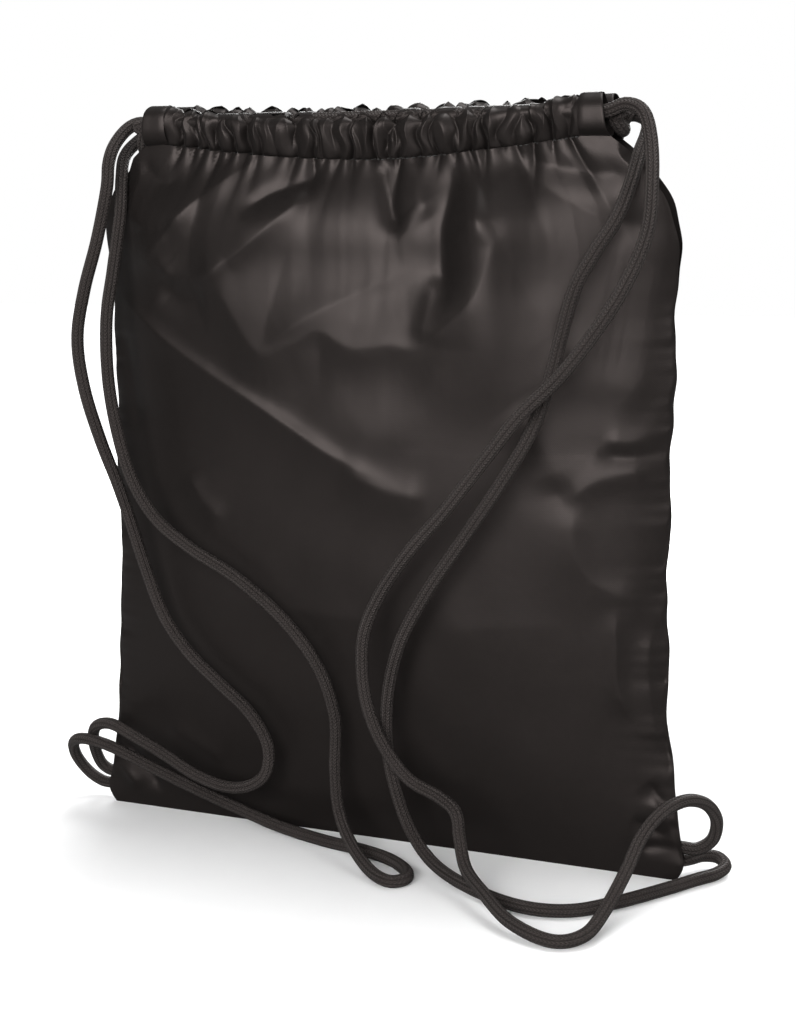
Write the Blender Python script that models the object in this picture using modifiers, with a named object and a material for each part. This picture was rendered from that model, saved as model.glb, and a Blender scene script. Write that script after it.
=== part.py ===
"""Drawstring backpack: a flat-cut fabric sack, standing on its filled bottom, mouth gathered on two cords.

Metres, +Z up. +X is the viewer's right, -Y faces the viewer (the strap side), and the origin is the middle of
the bag's footprint on the floor. Two panels meet in the side seams and the bottom seam, each panel ends in a
casing at the mouth, and each of two cords runs through both casings, turns round at one end and hangs down as
two straps at the other, whose ends are sewn in behind the bottom corner.
"""

import math

import bmesh
import bpy
from mathutils import Vector

# Bag body
BAG_WIDTH = 0.365  # the bottom seam
STITCH_HEIGHT = 0.392  # the row of stitching that closes the casings
SKIN = 0.0016  # stand-in thickness of a fabric panel
GAP = 0.0003  # left between pieces that touch
WAIST = 0.0175  # how far each side pulls in once the bag is filled
WAIST_HEIGHT = 0.06  # height over which most of that happens
SHOULDER_START = 0.335  # where the sides begin to turn in towards the casings
SHOULDER = 0.035
SHOULDER_POWER = 2.6
NEAR_BULGE = 0.026
FAR_BULGE = 0.090
FLOOR_SHARE = 0.8  # of the far bulge that rests on the floor
NEAR_FULL = 0.20  # height at which the near panel bulges most
CORNER_RISE = 0.05  # height of the rounded turn from the floor up into the outer panel
NEAR_CLOSE, NEAR_CLOSE_START = 0.75, 0.24  # share of its bulge a panel loses by the top, and from what height
FAR_CLOSE, FAR_CLOSE_START = 0.86, 0.10
FLARE_START = 0.345  # height at which the panels part to reach their own casings
CROWN = 2.4  # how flat the panels are across before they turn in at the side seams
NEAR_EDGE, FAR_EDGE = 0.75, 0.7
BAG_DEPTH = NEAR_BULGE + FAR_BULGE + 2 * SKIN
SEAM_Y = -(BAG_DEPTH / 2 - NEAR_BULGE - SKIN)  # puts the footprint's middle on the origin

# Meshes
PANEL_COLUMNS, NEAR_ROWS, FAR_ROWS = 20, 22, 26
FLOOR_ROWS = 0.2  # share of the outer panel's rows that lie on the floor
ROW_CROWDING = 1.5  # draws the other rows down towards the turn
SLEEVE_SIDES = 28

# Casings and their turned hems
MOUTH_WIDTH = 0.260
HEM_LENGTH = 0.012
CASING_WALL = 0.0012
CASING_HALF_DEPTH = 0.009
CASING_HALF_HEIGHT = 0.014
HEM_EXTRA = 0.0005
CASING_Y = 0.0135  # each casing's middle, before and behind the seams' plane
CASING_LIFT = 0.0005  # the hems' clearance over the panels
CASING_Z = STITCH_HEIGHT + CASING_HALF_HEIGHT + HEM_EXTRA + CASING_LIFT

# Cords
CORD = 0.007
CORD_Z = CASING_Z + 0.003  # a gathered casing hangs from its cord
CORD_SPREAD = 0.0037  # each cord's distance from the middle of a casing that holds two
LOOP_RUN = 0.095  # straight run of a cord's loop inside a casing, short enough to draw the mouth shut
LOOP_DROOP = math.radians(60)
ROUTE_STEP = 0.013  # spacing of the points along a strap
ROUTE_FINE = 12
TURN_STEPS = 10

# Where the straps are sewn in
SLOT_Y = (0.0005, 0.0085)
SLOT_Z = (0.0055, 0.0215)
SLOT_REACH = (0.1735, 0.19)  # how far along X the slot's cutter reaches, past the panel's skin both ways
ANCHOR_FAR = 0.156
ANCHOR_NEAR = 0.1690
SEAM_ALLOWANCE = 0.008
BINDING = 0.0012
STRIP_Y = 0.0006  # the strips are centred on the seams' plane
STRIP_INSET = 0.003  # keeps a side strip clear of the panels' skin
SIDE_STRIP = (0.030, 0.330)
BOTTOM_STRIP_HALF = 0.150

# Each strap's route in millimetres, from the middle of the bottom seam: out of its hem, down, and to its corner
STRAP_ROUTES = {
    "left_strap_front": [
        (-118, -9.8, 410), (-130, -9.8, 410), (-139, -10.5, 411), (-145, -15, 407), (-149, -22, 398),
        (-150, -27, 388),
        (-150, -30, 374), (-155, -34, 346), (-162, -38, 318), (-165, -42, 291), (-161, -43, 263),
        (-153, -41, 234), (-146, -36, 209), (-141, -31, 186), (-134, -28, 159), (-123, -27, 130),
        (-107, -27, 109), (-87, -27, 92), (-69, -27, 77), (-58, -27, 59), (-59, -28, 42), (-70, -29, 33),
        (-86, -29, 31), (-105, -29, 36), (-125, -29, 46), (-145, -29, 55), (-161, -27, 60), (-174, -22, 56),
        (-182, -14, 46), (-186, -5, 33), (-186, 2, 22), (-180, 4.5, 17.5), (-170, 4.5, 17.5),
    ],
    "left_strap_rear": [
        (-118, 9.8, 410), (-130, 9.8, 410), (-139, 8, 408), (-147, 2, 402), (-151, -7, 393), (-149, -15, 380),
        (-146, -23, 360), (-147, -31, 330), (-147, -40, 302), (-146, -42, 269), (-141, -42, 238),
        (-134, -40, 212), (-122, -36, 190), (-102, -34, 174), (-72, -34, 158), (-44, -33, 136),
        (-24, -31, 110), (-15, -29, 81), (-15, -29, 51), (-12, -32, 29), (-1, -43, 15), (16, -57, 6),
        (30, -64, 4), (38, -58, 4), (34, -47, 4), (20, -36, 4), (0, -29, 4), (-25, -24, 4), (-55, -18, 6),
        (-84, -16, 13), (-113, -21, 25), (-142, -24, 37), (-163, -27, 46), (-183, -23, 47), (-196, -14, 40),
        (-200, -5, 28), (-196, 2, 16), (-188, 4.5, 10), (-180, 4.5, 9.5), (-170, 4.5, 9.5),
    ],
    "right_strap_front": [
        (118, -17.2, 410), (130, -17.2, 410), (140, -18, 413), (149, -21, 409), (154, -26, 397), (157, -34, 377),
        (157, -43, 350), (148, -51, 324), (134, -57, 300), (118, -60, 279), (99, -60, 260), (80, -58, 236),
        (59, -56, 209), (37, -52, 184), (19, -48, 158), (9, -46, 133), (10, -46, 102), (19, -46, 77),
        (35, -46, 57), (53, -47, 49), (64, -51, 43), (68, -56, 31), (74, -63, 17), (89, -79, 12),
        (108, -96, 7), (131, -103, 4), (146, -95, 6), (153, -79, 14), (159, -61, 27), (164, -46, 41),
        (172, -34, 51), (182, -20, 54), (191, -8, 49), (196, 0, 38), (194, 4, 25), (186, 4.5, 18),
        (178, 4.5, 17.5), (170, 4.5, 17.5),
    ],
    "right_strap_rear": [
        (118, 17.2, 410), (130, 17.2, 410), (139, 15, 410), (146, 7, 406), (148, -5, 399), (147, -17, 389),
        (145, -27, 374), (140, -34, 357), (130, -38, 340), (121, -41, 322), (115, -44, 297), (110, -46, 275),
        (101, -48, 249), (86, -48, 223), (67, -48, 194), (46, -46, 163), (29, -42, 132), (20, -37, 100),
        (19, -35, 70), (24, -35, 45), (33, -35, 22), (49, -41, 7), (76, -58, 4), (106, -70, 4),
        (132, -66, 4), (154, -46, 4), (174, -22, 4), (189, -2, 4), (199, 9, 5), (198, 17, 8), (189, 12, 10),
        (183, 5.5, 9.5), (178, 4.5, 9.5), (170, 4.5, 9.5),
    ],
}

BLACK_SATIN = ((0.020, 0.018, 0.017, 1), 0.42)
BLACK_LINING = ((0.016, 0.015, 0.014, 1), 0.6)
BLACK_BRAID = ((0.024, 0.021, 0.020, 1), 0.7)
BLACK_THREAD = ((0.012, 0.011, 0.011, 1), 0.6)


def smooth_step(low, high, value):
    t = min(max((value - low) / (high - low), 0.0), 1.0)
    return t * t * (3 - 2 * t)


def half_width(z):
    """Half the bag's width at a height: wide at the bottom seam, drawn in by the filling, shouldered at the top."""
    shoulder = min(max((z - SHOULDER_START) / (STITCH_HEIGHT - SHOULDER_START), 0.0), 1.0)
    return BAG_WIDTH / 2 - WAIST * (1 - math.exp(-z / WAIST_HEIGHT)) - SHOULDER * shoulder**SHOULDER_POWER


def towards_casing(z):
    """How far a panel's outside leaves the seams' plane on its way to its own casing."""
    flat = SKIN + GAP / 2
    return flat + (CASING_Y - flat) * smooth_step(FLARE_START, STITCH_HEIGHT, z)


def near_depth(u, z):
    swell = 1 - (1 - min(z / NEAR_FULL, 1)) ** 2
    close = 1 - NEAR_CLOSE * smooth_step(NEAR_CLOSE_START, STITCH_HEIGHT, z)
    return towards_casing(z) + NEAR_BULGE * swell * close * (1 - abs(u) ** CROWN) ** NEAR_EDGE


def far_depth(u, z):
    turn = min(z / CORNER_RISE, 1)
    swell = FLOOR_SHARE + (1 - FLOOR_SHARE) * math.sqrt(1 - (1 - turn) ** 2)
    close = 1 - FAR_CLOSE * smooth_step(FAR_CLOSE_START, STITCH_HEIGHT, z)
    return towards_casing(z) + FAR_BULGE * swell * close * (1 - abs(u) ** CROWN) ** FAR_EDGE


def collection(name, hidden=False):
    made = bpy.data.collections.new(name)
    made.hide_render = hidden
    bpy.context.scene.collection.children.link(made)
    return made


def material(name, look):
    colour, roughness = look
    made = bpy.data.materials.new(name)
    made.use_nodes = True
    shader = made.node_tree.nodes["Principled BSDF"]
    shader.inputs["Base Color"].default_value = colour
    shader.inputs["Roughness"].default_value = roughness
    made.diffuse_color = colour
    return made


def adopt(obj, name, look, smooth=True):
    """Name the new object, move it to the backpack's collection and give it a material of its own."""
    obj.name = name
    obj.data.name = name
    obj.data.materials.clear()
    obj.data.materials.append(material(name, look))
    for owner in list(obj.users_collection):
        owner.objects.unlink(obj)
    BACKPACK.objects.link(obj)
    if smooth and obj.type == "MESH":
        for face in obj.data.polygons:
            face.use_smooth = True
    return obj


def sheet(name, look, columns, rows, place, thickness):
    """A grid bent by place(s, t), s from -1 to 1 and t from 0 to 1, given its thickness on the inside."""
    bpy.ops.mesh.primitive_grid_add(x_subdivisions=columns, y_subdivisions=rows, size=2)
    obj = bpy.context.active_object
    for vertex in obj.data.vertices:
        vertex.co = place(vertex.co.x, (vertex.co.y + 1) / 2)
    adopt(obj, name, look)
    solid = obj.modifiers.new("thickness", "SOLIDIFY")
    solid.thickness = thickness
    solid.offset = -1
    return obj


def near_point(s, t):
    u = math.sin(s * math.pi / 2)
    z = STITCH_HEIGHT * t
    return Vector((u * half_width(z), SEAM_Y - near_depth(u, z), z))


def far_point(s, t):
    """The outer panel: from the bottom seam back along the floor, then up to its casing."""
    u = math.sin(s * math.pi / 2)
    front = GAP / 2
    if t <= FLOOR_ROWS:
        back = far_depth(u, 0)
        return Vector((-u * half_width(0), SEAM_Y + front + (back - front) * t / FLOOR_ROWS, 0))
    z = STITCH_HEIGHT * ((t - FLOOR_ROWS) / (1 - FLOOR_ROWS)) ** ROW_CROWDING
    return Vector((-u * half_width(z), SEAM_Y + far_depth(u, z), z))


def cut(obj, cutter):
    boolean = obj.modifiers.new("slot", "BOOLEAN")
    boolean.operation = "DIFFERENCE"
    boolean.solver = "EXACT"
    boolean.object = cutter


def box(name, low, high):
    bpy.ops.mesh.primitive_cube_add(size=1)
    obj = bpy.context.active_object
    obj.name = name
    middle = (Vector(low) + Vector(high)) / 2
    size = Vector(high) - Vector(low)
    for vertex in obj.data.vertices:
        vertex.co = Vector(a * b for a, b in zip(vertex.co, size))
    obj.location = middle
    return obj


def mirrored(side, near, far):
    """The span from near to far of the middle, on this side, in increasing order."""
    return tuple(sorted((side * near, side * far)))


def panels():
    sheet("strap_side_panel", BLACK_SATIN, PANEL_COLUMNS, NEAR_ROWS, near_point, SKIN)
    outer = sheet("outer_panel", BLACK_SATIN, PANEL_COLUMNS, FAR_ROWS, far_point, SKIN)
    for word, side in SIDES:
        x = mirrored(side, *SLOT_REACH)
        cutter = box(
            f"{word}_slot", (x[0], SEAM_Y + SLOT_Y[0], SLOT_Z[0]), (x[1], SEAM_Y + SLOT_Y[1], SLOT_Z[1])
        )
        cutter.display_type = "WIRE"
        cutter.hide_render = True
        for owner in list(cutter.users_collection):
            owner.objects.unlink(cutter)
        CUTTERS.objects.link(cutter)
        cut(outer, cutter)


def seam_allowances():
    """The sewn edges inside the bag: one strip up each side and one along the bottom."""
    low, high = SIDE_STRIP

    def side_strip(side):
        def place(s, t):
            z = low + (high - low) * t
            inset = STRIP_INSET + SEAM_ALLOWANCE * (1 - side * s) / 2
            return Vector((side * (half_width(z) - inset), SEAM_Y + STRIP_Y, z))

        return place

    for word, side in SIDES:
        sheet(f"{word}_side_seam", BLACK_LINING, 1, 14, side_strip(side), BINDING)

    def bottom_strip(s, t):
        return Vector((BOTTOM_STRIP_HALF * s, SEAM_Y + STRIP_Y, SKIN + GAP + SEAM_ALLOWANCE * t))

    sheet("bottom_seam", BLACK_LINING, 8, 1, bottom_strip, BINDING)


def cord_anchors():
    """The bar-tacked cord ends behind each bottom corner."""
    for word, side in SIDES:
        x = mirrored(side, ANCHOR_FAR, ANCHOR_NEAR)
        anchor = box(
            f"{word}_cord_anchor",
            (x[0], SEAM_Y + SLOT_Y[0] + GAP, SLOT_Z[0] + GAP),
            (x[1], SEAM_Y + SLOT_Y[1] - GAP, SLOT_Z[1] - GAP),
        )
        adopt(anchor, f"{word}_cord_anchor", BLACK_THREAD, smooth=False)
        round_off = anchor.modifiers.new("rounding", "BEVEL")
        round_off.width = 0.0015
        round_off.segments = 2


def sleeve(name, x, y, extra):
    """An open oval fabric tube lying along X."""
    bpy.ops.mesh.primitive_cylinder_add(vertices=SLEEVE_SIDES, radius=1, depth=1, end_fill_type="NOTHING")
    obj = bpy.context.active_object
    for vertex in obj.data.vertices:
        across, up, along = vertex.co
        vertex.co = Vector(
            (
                (x[0] + x[1]) / 2 + along * (x[1] - x[0]),
                SEAM_Y + y - across * (CASING_HALF_DEPTH + extra),
                CASING_Z + up * (CASING_HALF_HEIGHT + extra),
            )
        )
    adopt(obj, name, BLACK_SATIN)
    tidy = bmesh.new()
    tidy.from_mesh(obj.data)
    bmesh.ops.recalc_face_normals(tidy, faces=tidy.faces)
    tidy.to_mesh(obj.data)
    tidy.free()
    wall = obj.modifiers.new("wall", "SOLIDIFY")
    wall.thickness = CASING_WALL
    wall.offset = -1


def casings():
    """Each casing in a left and a right half, because each half gathers with its own end, and a hem at each end."""
    end = MOUTH_WIDTH / 2
    for face, y in (("strap_side", -CASING_Y), ("outer", CASING_Y)):
        for word, side in SIDES:
            sleeve(f"{face}_casing_{word}", mirrored(side, GAP / 2, end - HEM_LENGTH - GAP), y, 0)
            sleeve(f"{face}_{word}_hem", mirrored(side, end - HEM_LENGTH, end), y, HEM_EXTRA)


def tube(name, points, look):
    """A round cord through the points, with flat ends."""
    data = bpy.data.curves.new(name, "CURVE")
    data.dimensions = "3D"
    data.bevel_depth = CORD / 2
    data.bevel_resolution = 2
    data.use_fill_caps = True
    spline = data.splines.new("POLY")
    spline.points.add(len(points) - 1)
    for target, point in zip(spline.points, points):
        target.co = (*point, 1)
    return adopt(bpy.data.objects.new(name, data), name, look)


def smooth_route(points):
    """Points every ROUTE_STEP along the smooth curve through the given ones."""
    ends = [2 * points[0] - points[1], *points, 2 * points[-1] - points[-2]]
    fine = []
    for a, b, c, d in zip(ends, ends[1:], ends[2:], ends[3:]):
        for step in range(ROUTE_FINE):
            t = step / ROUTE_FINE
            fine.append(
                0.5 * (2 * b + (c - a) * t + (2 * a - 5 * b + 4 * c - d) * t**2 + (3 * b - a - 3 * c + d) * t**3)
            )
    fine.append(points[-1])
    lengths = [0.0]
    for before, after in zip(fine, fine[1:]):
        lengths.append(lengths[-1] + (after - before).length)
    count = round(lengths[-1] / ROUTE_STEP)
    even = []
    for index in range(count + 1):
        target = lengths[-1] * index / count
        after = next(i for i, length in enumerate(lengths) if length >= target - 1e-9)
        before = max(after - 1, 0)
        span = lengths[after] - lengths[before]
        share = (target - lengths[before]) / span if span else 0
        even.append(fine[before].lerp(fine[after], share))
    return even


def loop_points(side, spread):
    """A cord's turn at its closed end: in from one casing, round and down, and back into the other."""
    end = side * MOUTH_WIDTH / 2
    inner = end - side * LOOP_RUN
    points = [Vector((inner, SEAM_Y - spread, CORD_Z)), Vector((end, SEAM_Y - spread, CORD_Z))]
    for step in range(1, TURN_STEPS):
        angle = math.pi * step / TURN_STEPS
        out = spread * math.sin(angle)
        points.append(
            Vector(
                (
                    end + side * out * math.cos(LOOP_DROOP),
                    SEAM_Y - spread * math.cos(angle),
                    CORD_Z - out * math.sin(LOOP_DROOP),
                )
            )
        )
    points.append(Vector((end, SEAM_Y + spread, CORD_Z)))
    points.append(Vector((inner, SEAM_Y + spread, CORD_Z)))
    return points


def cords():
    """Two cords. Each turns round at one end of the mouth and leaves the other end as a pair of straps."""
    spreads = {"left": CASING_Y - CORD_SPREAD, "right": CASING_Y + CORD_SPREAD}
    for word, side in SIDES:
        spread = spreads[word]
        tube(f"{word}_cord_loop", loop_points(-side, spread), BLACK_BRAID)
        inner = -side * (MOUTH_WIDTH / 2 - LOOP_RUN) + side * GAP
        hem = side * (MOUTH_WIDTH / 2 - HEM_LENGTH - GAP)
        for face, y in (("front", -spread), ("rear", spread)):
            feed = [Vector((x, SEAM_Y + y, CORD_Z)) for x in (inner, hem)]
            tube(f"{word}_cord_feed_{face}", feed, BLACK_BRAID)
            route = [Vector((x, SEAM_Y * 1000 + y, z)) / 1000 for x, y, z in STRAP_ROUTES[f"{word}_strap_{face}"]]
            tube(f"{word}_strap_{face}", smooth_route(route), BLACK_BRAID)


for leftover in list(bpy.data.objects):
    bpy.data.objects.remove(leftover)
SIDES = (("left", -1), ("right", 1))
BACKPACK = collection("Drawstring backpack")
CUTTERS = collection("Cutters", hidden=True)
panels()
seam_allowances()
cord_anchors()
casings()
cords()
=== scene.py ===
"""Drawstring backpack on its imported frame: satin panels, gathered casings, braided cords and a studio.

Metres, in the row frame. Depth is measured from the plane of the side seams: forwards on the strap side,
called near, and backwards on the outer side, called far.
"""

import math

import bmesh
import bpy
import numpy as np
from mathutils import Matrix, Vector


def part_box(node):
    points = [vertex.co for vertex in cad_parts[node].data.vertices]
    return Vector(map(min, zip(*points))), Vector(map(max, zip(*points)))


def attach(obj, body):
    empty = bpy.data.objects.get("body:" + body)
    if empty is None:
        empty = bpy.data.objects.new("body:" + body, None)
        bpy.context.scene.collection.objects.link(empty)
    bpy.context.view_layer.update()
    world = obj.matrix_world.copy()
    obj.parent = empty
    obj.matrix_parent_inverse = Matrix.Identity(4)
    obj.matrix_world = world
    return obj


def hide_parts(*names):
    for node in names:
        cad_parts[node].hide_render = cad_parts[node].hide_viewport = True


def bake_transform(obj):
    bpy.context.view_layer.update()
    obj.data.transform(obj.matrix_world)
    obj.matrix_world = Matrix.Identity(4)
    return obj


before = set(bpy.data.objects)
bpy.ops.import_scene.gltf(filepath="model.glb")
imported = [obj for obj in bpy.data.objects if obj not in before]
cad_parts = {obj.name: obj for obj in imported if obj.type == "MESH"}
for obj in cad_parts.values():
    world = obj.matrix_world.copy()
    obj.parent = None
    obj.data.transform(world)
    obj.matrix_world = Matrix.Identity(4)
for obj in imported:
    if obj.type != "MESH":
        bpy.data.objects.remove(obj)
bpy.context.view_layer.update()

# The frame's own positions
SEAM_Y = sum(corner[1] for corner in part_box("right_cord_loop")) / 2
MOUTH_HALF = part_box("outer_right_hem")[1][0]
HEM_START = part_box("outer_right_hem")[0][0]
HALF_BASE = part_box("strap_side_panel")[1][0]

# Outline of the sack
WAIST = 0.0175
WAIST_HEIGHT = 0.06
SHOULDER_START = 0.335
SHOULDER_END = 0.401
SHOULDER = HALF_BASE - WAIST - MOUTH_HALF
CORNER_ROUND = 0.007
CORNER_HEIGHT = 0.013
NEAR_MIDLINE = (  # height, and depth of the strap-side panel's middle there, in millimetres
    (0, 0.8), (15, 4.5), (30, 8.5), (60, 14), (100, 19.5), (150, 24.5), (200, 27), (250, 29.2), (290, 31.5),
    (312, 31.2), (340, 27.5), (365, 23), (388, 18.5),
)
FAR_BULGE = 0.086
FLOOR_SHARE = 0.8  # how much of the far bulge is there at the floor already
CORNER_RISE = 0.05  # height at which it is complete
PLY = 0.0008  # each panel's distance from the seams' plane where they are sewn together
CASING_BLEND = (0.315, 0.395)  # heights between which a panel goes over to its casing's depth
FOLD_BLEND = (0.355, 0.40)  # heights between which the folds give way to the gathers

# Flat cut of the panels, and the meshes that are made of them
CUT_WIDTH = 2 * HALF_BASE
NEAR_CUT = 0.410  # bottom seam to stitch line
FAR_CUT = 0.495
COLUMNS = 264
NEAR_ROWS = 240
FAR_FLOOR_ROWS, FAR_WALL_ROWS = 44, 196
NEAR_HOLD, NEAR_FRAMES, NEAR_PRESSURE = 0.12, 18, -0.2  # how the strap-side panel settles

# Stitch line and casings
STITCH_MIDDLE = 0.388
STITCH_RISE = 0.012  # how much higher the stitch line is at the ends of the mouth
CASING_DEPTH = 0.0145
BOW = {"near": 0.003, "far": 0.002}
TOP_MIDDLE = {"near": 0.411, "far": 0.419}
TOP_END = 0.4215
CASING_HALF = 0.0092
CASING_ROUND = 0.064  # length of cloth round a casing
CASING_TURNS = 60
GATHER_DEPTH = 0.0042  # how much a pinch takes from a panel's depth at the stitch line
GATHER_LIFT = 0.35  # share of it that the cloth between two pinches stands proud
HEM_JOIN = 0.1178  # where a casing's stitch line meets its hem, from the middle of the mouth
CORD = 0.007
CORD_DEPTH = 0.0135  # middle of the two cords that lie side by side in each casing
CORD_Z = sum(corner[2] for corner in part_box("left_cord_feed_front")) / 2
BUNDLE_DEPTH = 0.0078  # half the room that the two cords need
BUNDLE_HEIGHT = 0.0046
LOOP_TUCK = 0.020  # keeps a loop's hidden ends from meeting the other cord as the mouth gathers
TUBE_TURNS = 18

# Sewing
STITCH_PITCH = 0.0029
STITCH_SHARE = 0.72  # of the pitch that the thread lies on top
SEAM_RAW = 0.0101  # a side allowance's raw edge, inside the outline
SEAM_SEWN = 0.0023
SEAM_MIDDLE = 0.0006  # depth of the seam allowances, behind the seams' plane
SEAM_POINTS = 240

SIDES = (("left", -1), ("right", 1))
SIGN = {"near": -1, "far": 1}
TITLE = {"near": "strap_side", "far": "outer"}


def smooth(low, high, value):
    t = np.clip((value - low) / (high - low), 0, 1)
    return t * t * (3 - 2 * t)


def ripple(x, y, wavelength, seed):
    """Smooth seeded unevenness between about -1 and 1."""
    rng = np.random.default_rng(seed)
    total = np.zeros(np.broadcast(x, y).shape)
    for _ in range(9):
        angle, phase = rng.uniform(0, math.tau, 2)
        length = wavelength * rng.uniform(0.7, 1.6)
        total += np.sin((x * math.cos(angle) + y * math.sin(angle)) * math.tau / length + phase)
    return total / 3


def half_width(z):
    shoulder = np.clip((z - SHOULDER_START) / (SHOULDER_END - SHOULDER_START), 0, 1)
    corner = CORNER_ROUND * (1 - np.minimum(z / CORNER_HEIGHT, 1)) ** 2
    return HALF_BASE - WAIST * (1 - np.exp(-z / WAIST_HEIGHT)) - SHOULDER * shoulder**2.6 - corner


def stitch_z(x):
    return STITCH_MIDDLE + STITCH_RISE * (np.abs(x) / MOUTH_HALF) ** 1.7


def top_z(x, face):
    return TOP_MIDDLE[face] + (TOP_END - TOP_MIDDLE[face]) * (np.abs(x) / MOUTH_HALF) ** 2.4


def casing_depth(x, face):
    return CASING_DEPTH + BOW[face] * (1 - np.minimum(np.abs(x) / MOUTH_HALF, 1) ** 2)


# ---------------- gathers at the stitch line

# Where the cloth pinches on its cord, in millimetres along the mouth
PINCHES = {
    "near": (-109, -101, -94, -85, -76, -68, -60, -49, -39, -29, -22, -14, -7, -2, 6, 14, 20, 31, 42, 51, 59,
             67, 76, 83, 92, 102, 111),
    "far": (-108, -97, -90, -80, -73, -61, -53, -44, -33, -26, -17, -6, 3, 11, 22, 30, 38, 47, 58, 66, 73, 84,
            91, 99, 110),
}


def pinches(face):
    """For each pinch: place, lean, curl, strength, width, and how far it runs down the panel."""
    rng = np.random.default_rng(7 if face == "near" else 19)
    return [
        (
            place / 1000,
            rng.uniform(-0.0045, 0.0045),
            rng.uniform(-0.0022, 0.0022),
            rng.uniform(0.45, 1.25),
            rng.uniform(0.0012, 0.0026),
            0.004 + 0.040 * rng.uniform(0, 1) ** 2.5,
        )
        for place in PINCHES[face]
    ]


def pinch_field(x, around, face):
    """How deep a casing is pinched at x and at an angle round its cord: 0 at the top, pi at the stitches."""
    up = (1 + np.cos(around)) / 2
    field = np.zeros(np.broadcast(x, around).shape)
    for place, lean, curl, strength, width, _ in pinches(face):
        at = place + lean * up + curl * np.sin(2 * around)
        near = np.exp(-((np.abs(x - at) / (width * (1 + 0.6 * up))) ** 1.05))
        field = np.maximum(field, strength * near)
    return field


def gather(x, below, face):
    """Depth that the pinches take from a panel, at a distance below the stitch line."""
    below = np.maximum(below, 0)
    field = np.zeros(np.broadcast(x, below).shape)
    for place, lean, _, strength, width, run in pinches(face):
        drift = place / MOUTH_HALF * 0.45 + lean * 60
        at = place + drift * below
        spread = width + 0.16 * below
        field += strength * np.exp(-((np.abs(x - at) / spread) ** 1.3)) * np.exp(-below / run)
    return GATHER_DEPTH * (field - GATHER_LIFT * np.exp(-below / 0.02))


# ---------------- folds


def fold(x, z, points, height, upper, lower, crisp=1.5, fade=0.25):
    """A crest (or a valley, with a negative height) along a line of (x, z) in millimetres.

    upper and lower are its flanks' widths in millimetres, left and right of the line's direction. crisp is
    how sharp the crest is, and fade the share of its length over which each end dies away.
    """
    line = np.array(points, float) / 1000
    fine = catmull(line, 8)
    steps = np.linalg.norm(np.diff(fine, axis=0), axis=1)
    along = np.concatenate([[0], np.cumsum(steps)])
    reach = 2.6 * max(upper, lower) / 1000
    low, high = fine.min(0) - reach, fine.max(0) + reach
    inside = (x > low[0]) & (x < high[0]) & (z > low[1]) & (z < high[1])
    out = np.zeros(x.shape)
    if not inside.any():
        return out
    p = np.stack([x[inside], z[inside]], -1)
    best = np.full(len(p), 1e9)
    side = np.zeros(len(p))
    where = np.zeros(len(p))
    for a, b, start, step in zip(fine, fine[1:], along, steps):
        ab = b - a
        t = np.clip(((p - a) @ ab) / max(ab @ ab, 1e-12), 0, 1)
        off = p - (a + t[:, None] * ab)
        distance = np.linalg.norm(off, axis=1)
        closer = distance < best
        best = np.where(closer, distance, best)
        cross = (ab[0] * off[:, 1] - ab[1] * off[:, 0]) / (step * distance + 1e-9)
        side = np.where(closer, cross, side)
        where = np.where(closer, start + t * step, where)
    width = (lower + (upper - lower) * (np.clip(side, -1, 1) + 1) / 2) / 1000
    share = where / along[-1]
    ends = smooth(0, fade, share) * smooth(0, fade, 1 - share) if fade else 1
    out[inside] = height / 1000 * np.exp(-((best / width) ** crisp)) * ends
    return out


def catmull(points, steps):
    """The smooth curve through the points, as an array."""
    points = np.asarray(points, float)
    padded = np.vstack([2 * points[0] - points[1], points, 2 * points[-1] - points[-2]])
    fine = []
    for a, b, c, d in zip(padded, padded[1:], padded[2:], padded[3:]):
        for step in range(steps):
            t = step / steps
            bend, twist = 2 * a - 5 * b + 4 * c - d, 3 * b - a - 3 * c + d
            fine.append(0.5 * (2 * b + (c - a) * t + bend * t**2 + twist * t**3))
    fine.append(points[-1])
    return np.array(fine)


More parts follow.
